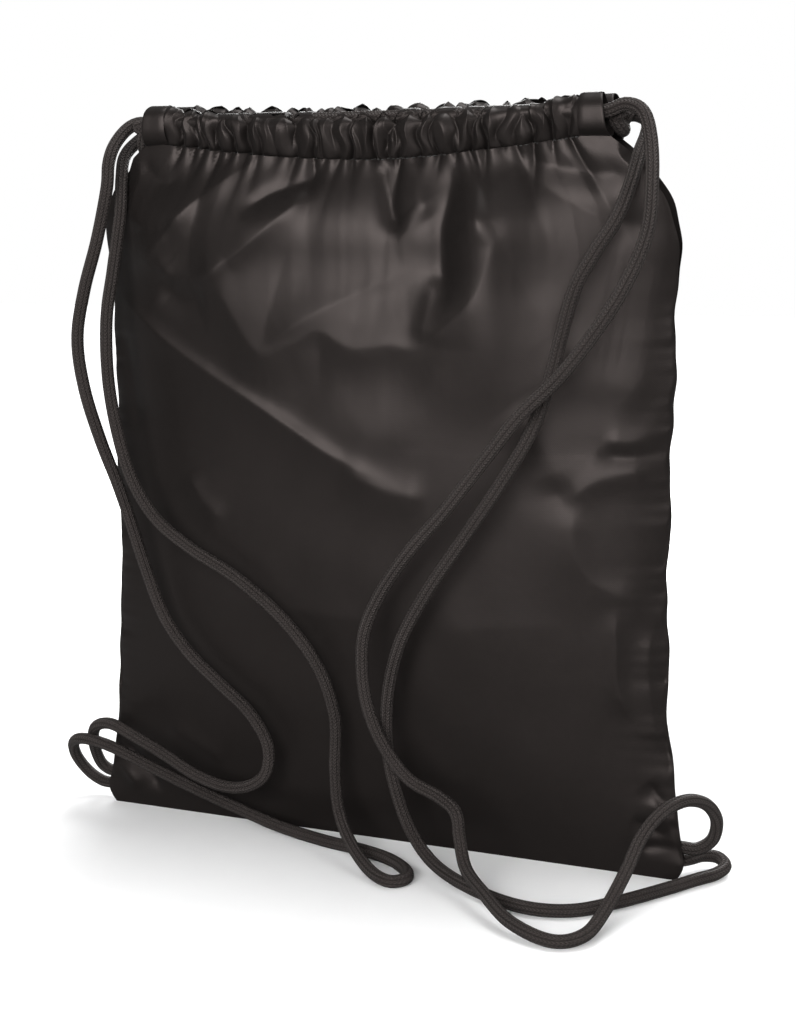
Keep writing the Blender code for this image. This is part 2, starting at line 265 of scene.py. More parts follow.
# Line, height, width of the left flank, width of the right flank, crispness, fade
NEAR_FOLDS = [
    # the long fold from the mouth to the left edge, and what follows it
    ([(-44, 400), (-73, 382), (-98, 365), (-123, 341), (-150, 328)], 5.5, 8, 28, 1.3),
    ([(-20, 394), (-31, 378), (-52, 370), (-70, 358)], -4.5, 6, 6, 1.5),
    ([(-18, 380), (-41, 360), (-67, 340), (-96, 324)], 3.2, 7, 15, 1.4),
    ([(-122, 340), (-116, 329), (-104, 325), (-90, 326), (-72, 334)], 3.0, 9, 7, 1.5),
    ([(-122, 322), (-106, 312), (-88, 314)], -2.6, 10, 9, 1.8),
    # the notch and the dark pocket right of the middle
    ([(9, 392), (14, 371), (20, 356), (28, 350)], -4.5, 7, 5, 1.5),
    ([(32, 392), (33, 370), (42, 358)], 2.6, 7, 10, 1.5),
    ([(60, 408), (66, 380), (68, 360), (73, 341)], 3.5, 9, 14, 1.3),
    ([(51, 396), (49, 366), (46, 350), (47, 325), (54, 308)], -4.0, 8, 7, 1.6),
    # the broad fold towards the right edge
    ([(58, 404), (77, 389), (98, 374), (130, 357), (165, 351)], -4.5, 14, 45, 1.3),
    ([(74, 398), (96, 386), (118, 381), (150, 379)], -4.2, 8, 8, 1.5),
    ([(98, 392), (114, 398), (132, 396), (146, 387)], -2.6, 4, 5, 1.5),
    # flat facets in the middle
    ([(-78, 316), (-58, 287), (-40, 290), (-21, 298), (-3, 290), (18, 292), (36, 292), (66, 316), (77, 344)],
     5.5, 44, 16, 1.35, 0),
    ([(-58, 287), (-26, 306), (6, 321), (36, 334)], 1.4, 12, 7, 1.3),
    ([(36, 292), (39, 308), (43, 330)], 1.5, 7, 11, 1.3),
    # the long crease across to the middle
    ([(-168, 322), (-142, 306), (-107, 283), (-59, 256), (-40, 245), (-10, 228), (24, 214)],
     2.8, 4.5, 11, 1.4),
    ([(-12, 224), (14, 213), (42, 208)], 2.4, 9, 13, 1.5),
    ([(-20, 300), (-10, 262), (20, 225)], 1.6, 30, 62, 1.5),
    # the right side
    ([(119, 216), (118, 187), (130, 166), (162, 156)], 1.8, 9, 14, 1.4),
    ([(112, 208), (130, 222), (162, 230)], 2.2, 10, 9, 1.5),
    ([(127, 236), (148, 235), (172, 240)], -2.0, 4, 5, 1.4),
    ([(130, 243), (150, 243), (170, 248)], 1.8, 6, 5, 1.4),
    ([(84, 262), (104, 236), (112, 214)], 1.8, 12, 12, 1.7),
    ([(108, 300), (132, 280), (158, 262)], 1.6, 16, 14, 1.7),
    ([(140, 156), (141, 130), (142, 110), (150, 88)], 1.8, 5, 7, 1.4),
    ([(160, 148), (158, 125), (160, 100), (165, 68)], 1.8, 4, 5, 1.4),
    ([(170, 130), (169, 95), (173, 58)], -1.7, 3, 3, 1.5),
    # the low band where the filling ends
    ([(-98, 152), (-79, 141), (-40, 139), (-1, 138), (24, 134)], 1.1, 12, 18, 1.4),
    ([(36, 133), (78, 139), (122, 142)], 0.7, 12, 18, 1.5),
    ([(-109, 216), (-100, 201), (-84, 187)], 1.6, 7, 9, 1.5),
    ([(-136, 60), (-107, 45), (-92, 40)], 1.3, 8, 8, 1.6),
    # left shoulder
    ([(-136, 392), (-124, 380), (-113, 378), (-108, 384)], -2.4, 4, 6, 1.5),
    ([(-148, 352), (-126, 350), (-104, 356)], -1.8, 5, 8, 1.6),
    ([(-160, 300), (-150, 270), (-148, 235)], -2.2, 9, 12, 1.7),
    # crumpled corners
    ([(158, 56), (168, 44), (178, 40)], -3.0, 4, 5, 1.4),
    ([(150, 34), (166, 27), (181, 33)], -2.6, 3, 4, 1.4),
    ([(154, 16), (168, 19), (181, 20)], -2.0, 3, 3, 1.4),
    ([(160, 48), (170, 32), (176, 16)], 2.2, 4, 4, 1.4),
    ([(-170, 44), (-158, 33), (-147, 20), (-141, 8)], -2.6, 4, 5, 1.4),
    ([(-178, 28), (-166, 22), (-156, 10)], 2.0, 4, 5, 1.4),
]

FAR_FOLDS = [
    ([(-60, 396), (-84, 360), (-120, 320), (-156, 290)], 7.0, 22, 34, 1.4),
    ([(52, 396), (70, 350), (104, 300), (150, 268)], 7.5, 34, 22, 1.4),
    ([(-6, 394), (4, 350), (-10, 300)], 5.0, 16, 20, 1.5),
    ([(-30, 394), (-34, 360), (-46, 330)], -4.5, 9, 10, 1.5),
    ([(24, 394), (28, 362), (38, 338)], -4.5, 10, 9, 1.5),
    ([(-165, 240), (-90, 210), (-10, 214), (60, 196), (120, 210), (168, 190)], 4.0, 16, 24, 1.4),
    ([(-168, 160), (-120, 140), (-60, 148)], -3.2, 10, 10, 1.5),
    ([(60, 130), (110, 110), (168, 128)], -3.4, 9, 12, 1.5),
    ([(-150, 100), (-90, 84), (-20, 92), (50, 76)], 2.6, 12, 18, 1.5),
    ([(-172, 60), (-150, 46), (-132, 30)], -3.0, 6, 7, 1.4),
    ([(172, 64), (150, 44), (136, 28)], -3.0, 7, 6, 1.4),
    ([(-130, 250), (-110, 180), (-126, 120)], 2.4, 9, 12, 1.5),
    ([(128, 260), (116, 210), (132, 150)], 2.4, 12, 9, 1.5),
]

# ---------------- cord routes, as the frame has them

STRAP_ROUTES = {
    "left_strap_front": [
        (-118, -9.8, 410), (-130, -9.8, 410), (-139, -10.5, 411), (-145, -15, 407), (-149, -22, 398),
        (-150, -27, 388), (-150, -30, 374), (-155, -34, 346), (-162, -38, 318), (-165, -42, 291),
        (-161, -43, 263), (-153, -41, 234), (-146, -36, 209), (-141, -31, 186), (-134, -28, 159),
        (-123, -27, 130), (-107, -27, 109), (-87, -27, 92), (-69, -27, 77), (-58, -27, 59), (-59, -28, 42),
        (-70, -29, 33), (-86, -29, 31), (-105, -29, 36), (-125, -29, 46), (-145, -29, 55), (-161, -27, 60),
        (-174, -22, 56), (-182, -14, 46), (-186, -5, 33), (-186, 2, 22), (-180, 4.5, 17.5), (-170, 4.5, 17.5),
    ],
    "left_strap_rear": [
        (-118, 9.8, 410), (-130, 9.8, 410), (-139, 8, 408), (-147, 2, 402), (-151, -7, 393), (-149, -15, 380),
        (-146, -23, 360), (-147, -31, 330), (-147, -40, 302), (-146, -42, 269), (-141, -42, 238),
        (-134, -40, 212), (-122, -36, 190), (-102, -34, 174), (-72, -34, 158), (-44, -33, 136),
        (-24, -31, 110), (-15, -29, 81), (-15, -29, 51), (-12, -32, 29), (-1, -43, 15), (16, -57, 6),
        (30, -64, 4), (38, -58, 4), (34, -47, 4), (20, -36, 4), (0, -29, 4), (-25, -24, 4), (-55, -18, 6),
        (-84, -16, 13), (-113, -21, 25), (-142, -24, 37), (-163, -27, 46), (-183, -23, 47), (-196, -14, 40),
        (-200, -5, 28), (-196, 2, 16), (-188, 4.5, 10), (-180, 4.5, 9.5), (-170, 4.5, 9.5),
    ],
    "right_strap_front": [
        (118, -17.2, 410), (130, -17.2, 410), (140, -18, 413), (149, -21, 409), (154, -26, 397),
        (157, -34, 377), (157, -43, 350), (148, -51, 324), (134, -57, 300), (118, -60, 279), (99, -60, 260),
        (80, -58, 236), (59, -56, 209), (37, -52, 184), (19, -48, 158), (9, -46, 133), (10, -46, 102),
        (19, -46, 77), (35, -46, 57), (53, -47, 49), (64, -51, 43), (68, -56, 31), (74, -63, 17),
        (89, -79, 12), (108, -96, 7), (131, -103, 4), (146, -95, 6), (153, -79, 14), (159, -61, 27),
        (164, -46, 41), (172, -34, 51), (182, -20, 54), (191, -8, 49), (196, 0, 38), (194, 4, 25),
        (186, 4.5, 18), (178, 4.5, 17.5), (170, 4.5, 17.5),
    ],
    "right_strap_rear": [
        (118, 17.2, 410), (130, 17.2, 410), (139, 15, 410), (146, 7, 406), (148, -5, 399), (147, -17, 389),
        (145, -27, 374), (140, -34, 357), (130, -38, 340), (121, -41, 322), (115, -44, 297), (110, -46, 275),
        (101, -48, 249), (86, -48, 223), (67, -48, 194), (46, -46, 163), (29, -42, 132), (20, -37, 100),
        (19, -35, 70), (24, -35, 45), (33, -35, 22), (49, -41, 7), (76, -58, 4), (106, -70, 4),
        (132, -66, 4), (154, -46, 4), (174, -22, 4), (187, -5, 4), (196, 5, 4.5), (200, 14, 6), (195, 20, 8),
        (187, 17, 9), (182, 10, 9.5), (177, 5.5, 9.5), (170, 4.5, 9.5),
    ],
}


def evenly(points, step):
    """Points about a step apart along the smooth curve through the given ones."""
    fine = catmull(points, 24)
    along = np.concatenate([[0], np.cumsum(np.linalg.norm(np.diff(fine, axis=0), axis=1))])
    count = max(int(round(along[-1] / step)), 2)
    at = np.linspace(0, along[-1], count + 1)
    return np.stack([np.interp(at, along, fine[:, k]) for k in range(3)], -1)


def strap_path(name):
    points = np.array(STRAP_ROUTES[name], float) / 1000
    points[:, 1] += SEAM_Y
    return evenly(points, 0.0022)


# ---------------- panels

PATHS = {}  # each strap's path, filled in as the straps are built

SLANT_HEIGHTS = (250, 290, 330, 365, 400)
SLANTS = (  # the crests and valleys between which the upper half hangs: x at each of the heights, and depth
    ((-175, -175, -172, -165, -140), -2.0),
    ((-158, -150, -132, -98, -52), 6.0),
    ((20, 36, 45, 47, 48), -6.5),
    ((66, 70, 70, 67, 62), 6.0),
    ((172, 170, 168, 150, 125), -3.5),
)


def slants(x, z):
    """The upper half's broad facets, with their edges rounded by averaging over a few sideways shifts."""
    lines = [np.interp(z * 1000, SLANT_HEIGHTS, row) for row, _ in SLANTS]
    total = np.zeros(x.shape)
    shifts = (-8, -5, -2.5, 0, 2.5, 5, 8)
    for shift in shifts:
        at = x * 1000 + shift
        value = np.full(x.shape, SLANTS[0][1])
        for (low, high), (a, b) in zip(zip(lines, lines[1:]), zip(SLANTS, SLANTS[1:])):
            share = np.clip((at - low) / (high - low), 0, 1)
            value = value + (b[1] - a[1]) * share
        total += value
    strength = smooth(0.24, 0.30, z) * (1 - 0.8 * smooth(0.355, 0.395, z))
    return total / (1000 * len(shifts)) * strength


def casing_plane(x, z, face):
    """The depth of a panel without its filling, out to its casing's at the top."""
    return PLY + (casing_depth(x, face) - PLY) * smooth(*CASING_BLEND, z)


def bulge(u, power):
    """How a panel's filling falls off from its middle to its side seams."""
    return np.clip(1 - np.abs(u) ** 2.4, 0, 1) ** power


def off_seams(u, least, reach):
    """1 on the open panel and least at its side seams."""
    return least + (1 - least) * smooth(0, reach, 1 - np.abs(u))


def creases(x, z, rows):
    return sum(fold(x, z, *row) for row in rows) * (1 - smooth(*FOLD_BLEND, z) * 0.55)


def near_depth(u, x, z, line_z):
    """Depth of the strap-side panel: filled low down, drawn to its casing at the top, and folded."""
    flat = casing_plane(x, z, "near")
    midline = catmull(NEAR_MIDLINE, 12) / 1000
    middle = np.interp(z / line_z * STITCH_MIDDLE, midline[:, 0], midline[:, 1])
    edge = bulge(u, 0.75)
    depth = flat + np.maximum(middle - PLY - (flat - PLY) * smooth(0.34, STITCH_MIDDLE, z), 0) * edge
    depth = depth + slants(x, z) * edge
    quiet = off_seams(u, 0.25, 0.10)
    raised = smooth(0.0, 0.02, z)
    depth = depth + creases(x, z, NEAR_FOLDS) * quiet * (0.3 + 0.7 * raised)
    depth = depth - gather(x, line_z - z, "near")
    uneven = 0.0005 * ripple(x, z, 0.10, 3) + 0.00012 * ripple(x, z, 0.030, 4)
    depth = depth + uneven * quiet * raised
    return depth + seam_pucker(u, x, z, 21) * raised


def seam_pucker(u, x, z, seed):
    """The small ripples where a panel is sewn into its side seams."""
    rim = np.exp(-(1 - np.abs(u)) / 0.045)
    side = np.sign(x)
    wave = ripple(z + side, 0 * z, 0.019, seed) + 0.6 * ripple(z + side, 0 * z, 0.009, seed + 5)
    return 0.0010 * rim * wave * np.clip((1 - np.abs(u)) / 0.012, 0, 1) * (1 - smooth(0.30, 0.34, z))


def far_depth(u, x, z, line_z):
    """Depth of the outer panel: nearly full at the floor, and closing towards the mouth."""
    turn = np.minimum(z / CORNER_RISE, 1)
    swell = FLOOR_SHARE + (1 - FLOOR_SHARE) * np.sqrt(np.clip(1 - (1 - turn) ** 2, 0, 1))
    close = 1 - 0.97 * smooth(0.10, 0.392, z)
    depth = casing_plane(x, z, "far") + FAR_BULGE * swell * close * bulge(u, 0.7)
    quiet = off_seams(u, 0.2, 0.12)
    raised = smooth(0.0, 0.03, z)
    depth = depth + creases(x, z, FAR_FOLDS) * quiet * raised
    depth = depth - gather(x, line_z - z, "far")
    depth = depth + 0.0016 * ripple(x, z, 0.07, 9) * quiet * raised
    return depth + seam_pucker(u, x, z, 22) * raised


def tip_line(x, face):
    """Height and depth of the stitch line, which a casing and its panel share."""
    z = stitch_z(x) + 0.0010 * pinch_field(x, np.full(np.shape(x), math.pi), face)
    return z, casing_depth(x, face) - gather(x, np.zeros(np.shape(x)), face)


def edge_wander(z, side):
    """The side seams aren't quite straight."""
    slow = ripple(z + side, 0 * z, 0.075, 51) * smooth(0.02, 0.08, z)
    return 0.0009 * slow + 0.0004 * ripple(z + side, 0 * z, 0.020, 52)


def placed(name, data):
    """A new object in the scene."""
    made = bpy.data.objects.new(name, data)
    bpy.context.scene.collection.objects.link(made)
    return made


def quads(rows, columns, first=0):
    """The faces of a grid of points, as rows of four indices."""
    index = np.arange(rows * columns).reshape(rows, columns) + first
    return np.stack([index[:-1, :-1], index[:-1, 1:], index[1:, 1:], index[1:, :-1]], -1).reshape(-1, 4)


def finer(grid):
    """Twice as many rows and columns, on the smooth surface through the given ones."""
    for axis in (0, 1):
        g = np.moveaxis(grid, axis, 0)
        before = np.concatenate([2 * g[:1] - g[1:2], g[:-2]])
        after = np.concatenate([g[2:], 2 * g[-1:] - g[-2:-1]])
        between = (9 * (g[:-1] + g[1:]) - before - after) / 16
        out = np.empty((2 * len(g) - 1, *g.shape[1:]))
        out[::2], out[1::2] = g, between
        grid = np.moveaxis(out, 0, axis)
    return grid


def relax(points, rest, hold, frames, pressure):
    """Lets a panel settle as cloth: it was cut to rest, and each point is held in place by hold, 0 to 1."""
    mesh = bpy.data.meshes.new("cloth")
    mesh.from_pydata(points.reshape(-1, 3).tolist(), [], quads(*points.shape[:2]).tolist())
    obj = placed("cloth", mesh)
    obj.shape_key_add(name="Basis")
    cut = obj.shape_key_add(name="cut")
    cut.data.foreach_set("co", rest.reshape(-1).astype(np.float32))
    group = obj.vertex_groups.new(name="hold")
    levels = np.round(hold.ravel(), 2)
    for level in np.unique(levels):
        if level > 0:
            group.add(np.nonzero(levels == level)[0].tolist(), float(level), "REPLACE")
    cloth = obj.modifiers.new("cloth", "CLOTH")
    s = cloth.settings
    s.quality = 7
    s.mass = 0.02
    s.tension_stiffness = s.compression_stiffness = 14
    s.shear_stiffness = 4
    s.bending_stiffness = 1.5
    s.tension_damping = s.compression_damping = s.shear_damping = 5
    s.bending_damping = 0.5
    s.air_damping = 3
    s.vertex_group_mass = "hold"
    s.pin_stiffness = 0.6
    s.rest_shape_key = cut
    s.use_pressure = pressure != 0
    s.uniform_pressure_force = pressure
    s.effector_weights.gravity = 0
    cloth.collision_settings.use_collision = False
    cloth.collision_settings.use_self_collision = False
    scene = bpy.context.scene
    cloth.point_cache.frame_start = 1
    cloth.point_cache.frame_end = frames
    for frame_number in range(1, frames + 1):
        scene.frame_set(frame_number)
    settled = obj.evaluated_get(bpy.context.evaluated_depsgraph_get())
    out = np.empty(points.size, np.float32)
    settled.data.vertices.foreach_get("co", out)
    bpy.data.objects.remove(obj)
    scene.frame_set(1)
    return out.reshape(points.shape).astype(float)


def blur(grid, passes):
    """The grid smoothed over its neighbours, with its rim left alone."""
    for _ in range(passes):
        for axis in (0, 1):
            g = np.moveaxis(grid, axis, 0).copy()
            g[1:-1] = (g[:-2] + 2 * g[1:-1] + g[2:]) / 4
            grid = np.moveaxis(g, 0, axis)
    return grid


def panel_columns():
    c = np.linspace(-1, 1, COLUMNS + 1)
    return 0.55 * c + 0.45 * np.sin(c * math.pi / 2)


def near_grid():
    """Points of the strap-side panel, and where each lies in the flat cut."""
    u = panel_columns()
    uu, tt = np.meshgrid(u, np.linspace(0, 1, NEAR_ROWS + 1))
    line, _ = tip_line(u * half_width(SHOULDER_END), "near")
    z = tt * line[None, :]
    level = tt * SHOULDER_END
    x = uu * (half_width(level) + edge_wander(level, np.sign(uu)))
    depth = near_depth(uu, x, z, line[None, :])
    points = np.stack([x, SEAM_Y - depth, z], -1)
    rest = np.stack([uu * CUT_WIDTH / 2, 0 * uu, tt * NEAR_CUT], -1)
    free = np.minimum((1 - np.abs(uu)) / 0.06, 1) * np.minimum(tt / 0.04, 1)
    free = free * np.minimum((1 - tt) / 0.012, 1)
    coarse, hold = points[::2, ::2], np.clip(1 - free, NEAR_HOLD, 1)[::2, ::2]
    settled = relax(coarse, rest[::2, ::2], hold, NEAR_FRAMES, NEAR_PRESSURE)
    points = points + finer(blur(settled - coarse, 12)) * np.minimum((1 - tt) / 0.12, 1)[..., None]
    points[..., 1] = SEAM_Y - behind_straps(points[..., 0], points[..., 2], SEAM_Y - points[..., 1])
    return points, rest[..., ::2]


def behind_straps(x, z, depth):
    """Presses the panel back where a strap lies on it."""
    for path in PATHS.values():
        for p in path[::2]:
            front = SEAM_Y - p[1]
            if front < 0.012:
                continue
            near = (np.abs(x - p[0]) < 0.013) & (np.abs(z - p[2]) < 0.013)
            if not near.any():
                continue
            away = np.hypot(x[near] - p[0], z[near] - p[2])
            room = front - CORD / 2 - 0.0004 + np.maximum(away - CORD * 0.42, 0) * 0.75
            depth[near] = np.minimum(depth[near], room)
    return depth


def far_grid():
    """Points of the outer panel, from the bottom seam back over the floor and up, and its flat cut."""
    u = panel_columns()
    line, _ = tip_line(u * half_width(SHOULDER_END), "far")
    x = u * half_width(0.0)
    base_back = far_depth(u, x, np.zeros(u.shape), line)
    rows_points, rows_uv = [], []
    for k in range(FAR_FLOOR_ROWS):
        t = k / FAR_FLOOR_ROWS
        depth = PLY + (base_back - PLY) * t
        lift = 0.0004 + 0.0012 * (1 - np.abs(u)) * np.abs(ripple(x, depth, 0.05, 31)) * math.sin(math.pi * t)
        rows_points.append(np.stack([x, SEAM_Y + depth, lift], -1))
        rows_uv.append(np.stack([u * HALF_BASE, -(base_back - depth)], -1))
    for k in range(FAR_WALL_ROWS + 1):
        t = (k / FAR_WALL_ROWS) ** 1.25
        z = t * line
        level = t * SHOULDER_END
        x = u * (half_width(level) + edge_wander(level, np.sign(u)))
        depth = far_depth(u, x, z, line)
        rows_points.append(np.stack([x, SEAM_Y + depth, z + 0.0004 * (1 - t)], -1))
        rows_uv.append(np.stack([u * HALF_BASE, z], -1))
    return np.array(rows_points)[:, ::-1], np.array(rows_uv)[:, ::-1]


# ---------------- casings


def casing_grid(face, x):
    """An oval sleeve round its cord, puffed between pinches, closed along the stitch line."""
    around = np.linspace(0, math.tau, CASING_TURNS + 1)
    xx, aa = np.meshgrid(x, around)
    line_z, line_depth = tip_line(xx, face)
    top = top_z(xx, face)
    middle = (top + line_z) / 2
    half = (top - line_z) / 2
    up = (1 + np.cos(aa)) / 2
    pinch = pinch_field(xx, aa, face)
    near_end = np.clip((MOUTH_HALF - np.abs(xx)) / 0.02, 0.35, 1)
    squeeze = pinch * near_end
    seed = 41 if face == "near" else 61
    crumple = 1 - np.abs(ripple(xx, aa * 0.0035, 0.016, seed)) ** 0.8
    puff = 0.07 * ripple(xx, aa * 0.004, 0.022, seed + 1) + 0.17 * (crumple - 0.5)
    girth = 1 + 0.10 - 0.60 * squeeze * (0.30 + 0.70 * np.sin(aa) ** 2) + puff
    narrow = 1 - 0.62 * (1 - up) ** 1.2
    out = np.sin(aa) * CASING_HALF * girth * narrow
    rise = np.cos(aa) * half * np.where(np.cos(aa) > 0, 1.03 - 0.26 * squeeze + 0.6 * puff, 1.0)
    low = (1 - up) ** 2
    depth = casing_depth(xx, face) * (1 - low) + line_depth * low + out
    z = middle + rise
    off_y, off_z = depth - CORD_DEPTH, z - CORD_Z
    inside = np.maximum(np.hypot(off_y / BUNDLE_DEPTH, off_z / BUNDLE_HEIGHT), 0.05)
    push = np.where(inside < 1, 1 / inside, 1)
    depth, z = CORD_DEPTH + off_y * push, CORD_Z + off_z * push
    drift = 0.0016 * np.sin(aa) * ripple(xx, aa * 0.01, 0.02, 43)
    points = np.stack([xx + drift * near_end, SEAM_Y + SIGN[face] * depth, z], -1)
    uv = np.stack([xx * 1.4, aa / math.tau * CASING_ROUND], -1)
    return (points[:, ::-1], uv[:, ::-1]) if face == "near" else (points, uv)


def hem_grid(face, side):
    """The turned end of a casing: a plain band, flared at its rim and folded back inside."""
    stations = [  # distance from the middle of the mouth, and how far the band stands off the casing's size
        (0.1165, 0), (HEM_JOIN, 0.0007), (0.12, 0.0009), (0.123, 0.0008), (0.126, 0.0009), (0.1285, 0.0011),
        (0.1296, 0.001), (0.13, 0.0005), (0.1296, 0), (0.128, -0.0003), (0.124, -0.0005), (0.119, -0.0007),
    ]
    around = np.linspace(0, math.tau, CASING_TURNS + 1)
    line_z, _ = tip_line(np.full(around.shape, side * HEM_JOIN), face)
    top = top_z(np.full(around.shape, HEM_START), face)
    middle = (top + line_z) / 2
    rows, uvs = [], []
    travelled = 0.0
    for k, (reach, grow) in enumerate(stations):
        x = np.full(around.shape, side * reach)
        slant = (reach - 0.118) / 0.012
        half = (top - line_z) / 2 + 0.4 * grow
        wave = 1 + 0.05 * np.sin(3 * around + side) + 0.03 * np.sin(5 * around + 2 * side + (face == "far"))
        out = np.sin(around) * (CASING_HALF + grow) * wave
        lean = side * (0.0004 * np.sin(2 * around) - 0.0022 * np.cos(around)) * max(slant, 0)
        depth = CASING_DEPTH + out
        rows.append(np.stack([x + lean, SEAM_Y + SIGN[face] * depth, middle + np.cos(around) * half], -1))
        if k:
            travelled += abs(reach - stations[k - 1][0]) + abs(grow - stations[k - 1][1])
        uvs.append(np.stack([np.full(around.shape, travelled), around / math.tau * CASING_ROUND], -1))
    return np.array(rows), np.array(uvs)


# ---------------- meshes


def grid_normals(points):
    down = np.gradient(points, axis=0)
    across = np.gradient(points, axis=1)
    normals = np.cross(across, down)
    length = np.linalg.norm(normals, axis=-1, keepdims=True)
    return normals / np.maximum(length, 1e-12)


def smooth_mesh(name, points, uv, faces, look):
    """A mesh of points, one UV for each point, and quads."""
    mesh = bpy.data.meshes.new(name)
    mesh.from_pydata(points.reshape(-1, 3).tolist(), [], faces.tolist())
    layer = mesh.uv_layers.new(name="UVMap")
    layer.data.foreach_set("uv", uv.reshape(-1, 2)[faces.reshape(-1)].astype(np.float32).ravel())
    mesh.polygons.foreach_set("use_smooth", np.ones(len(faces), bool))
    mesh.materials.append(look)
    return mesh


def grid_object(name, points, uv, look, normals=None):
    mesh = smooth_mesh(name, points, uv, quads(*points.shape[:2]), look)
    if normals is not None:
        mesh.normals_split_custom_set_from_vertices(normals.reshape(-1, 3).tolist())
    return placed(name, mesh)


def halves(name, points, uv, look, outward):
    """The grid as a left and a right piece that meet at the middle with no visible join."""
    normals = grid_normals(points)
    probe = normals[points.shape[0] // 2, points.shape[1] // 2]
    if probe @ np.array(outward, float) < 0:
        normals = -normals
        points, uv, normals = points[::-1], uv[::-1], normals[::-1]
    middle = points.shape[1] // 2
    if points[0, 0, 0] < points[0, -1, 0]:
        parts = {"left": slice(0, middle + 1), "right": slice(middle, None)}
    else:
        parts = {"right": slice(0, middle + 1), "left": slice(middle, None)}
    return {
        word: grid_object(f"{name}_{word}", points[:, part], uv[:, part], look, normals[:, part])
        for word, part in parts.items()
    }


def follow_mouth(obj):
    """Bakes the piece's placement into its mesh; it is not tied to either end of the mouth."""
    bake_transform(obj)


def tube_grid(path, radius, turns, swell=None):
    """Rings round a path; swell gives the radius's share at each share of the length."""
    path = np.asarray(path, float)
    tangent = np.gradient(path, axis=0)
    tangent /= np.linalg.norm(tangent, axis=1, keepdims=True)
    normal = np.cross(tangent[0], (0.0, 0.0, 1.0))
    if np.linalg.norm(normal) < 1e-6:
        normal = np.cross(tangent[0], (0.0, 1.0, 0.0))
    normal /= np.linalg.norm(normal)
    around = np.linspace(0, math.tau, turns + 1)
    along = np.concatenate([[0], np.cumsum(np.linalg.norm(np.diff(path, axis=0), axis=1))])
    rows, uvs = [], []
    for point, t, run in zip(path, tangent, along):
        normal = normal - (normal @ t) * t
        normal /= np.linalg.norm(normal)
        side = np.cross(t, normal)
        r = radius if swell is None else radius * swell(run / along[-1])
        rows.append(point + r * (np.outer(np.cos(around), normal) + np.outer(np.sin(around), side)))
        uvs.append(np.stack([around / math.tau, np.full(around.shape, run)], -1))
    return np.array(rows), np.array(uvs)


def closed_tube(name, path, radius, turns, look):
    """A round cord with closed ends."""
    points, uv = tube_grid(path, radius, turns)
    made = grid_object(name, points, uv, look)
    close_tubes(made.data)
    return made


def close_tubes(mesh):
    """Joins each tube of a mesh along its length and closes its ends."""
    bm = bmesh.new()
    bm.from_mesh(mesh)
    bmesh.ops.remove_doubles(bm, verts=bm.verts[:], dist=1e-6)
    bmesh.ops.holes_fill(bm, edges=[e for e in bm.edges if e.is_boundary], sides=0)
    bmesh.ops.recalc_face_normals(bm, faces=bm.faces[:])
    bm.to_mesh(mesh)
    bm.free()
    mesh.update()


# ---------------- materials


TWILL = 0.0011  # spacing of the satin's diagonal ribs
BRAID_RIBS = 8.0
BRAID_STITCH = 0.0019
BLACK = ((0.0052, 0.0044, 0.0041, 1), (0.0098, 0.0083, 0.0078, 1))  # the satin's darkest and lightest tone


class Nodes:
    """A short way to build node materials."""

    def __init__(self, name):
        self.material = bpy.data.materials.new(name)
        self.material.use_nodes = True
        self.tree = self.material.node_tree
        self.shader = self.tree.nodes["Principled BSDF"]

    def fix(self, values):
        """Sets constants on the shader's own sockets."""
        for name, value in values.items():
            self.shader.inputs[name].default_value = value

    def put(self, target, value):
        if isinstance(value, bpy.types.NodeSocket):
            self.tree.links.new(value, target)
        elif value is not None:
            target.default_value = value

    def add(self, kind, **settings):
        node = self.tree.nodes.new(kind)
        for key, value in settings.items():
            setattr(node, key, value)
        return node

    def math(self, operation, a, b=None, c=None):
        node = self.add("ShaderNodeMath", operation=operation)
        for target, value in zip(node.inputs, (a, b, c)):
            self.put(target, value)
        return node.outputs[0]

    def wired(self, node, values):
        for key, value in values.items():
            self.put(node.inputs[key], value)
        return node

    def noise(self, vector, scale, detail=2.0, distortion=0.0):
        node = self.add("ShaderNodeTexNoise")
        values = {"Vector": vector, "Scale": scale, "Detail": detail, "Distortion": distortion}
        return self.wired(node, values).outputs["Fac"]

    def mix(self, share, a, b):
        return self.wired(self.add("ShaderNodeMix", data_type="RGBA"), {0: share, 6: a, 7: b}).outputs[2]

    def bump(self, height, strength, distance, normal=None):
        node = self.add("ShaderNodeBump")
        values = {"Height": height, "Strength": strength, "Distance": distance, "Normal": normal}
        return self.wired(node, values).outputs[0]

    def uv(self):
        split = self.add("ShaderNodeSeparateXYZ")
        self.put(split.inputs[0], self.add("ShaderNodeTexCoord").outputs["UV"])
        return split.outputs[0], split.outputs[1]


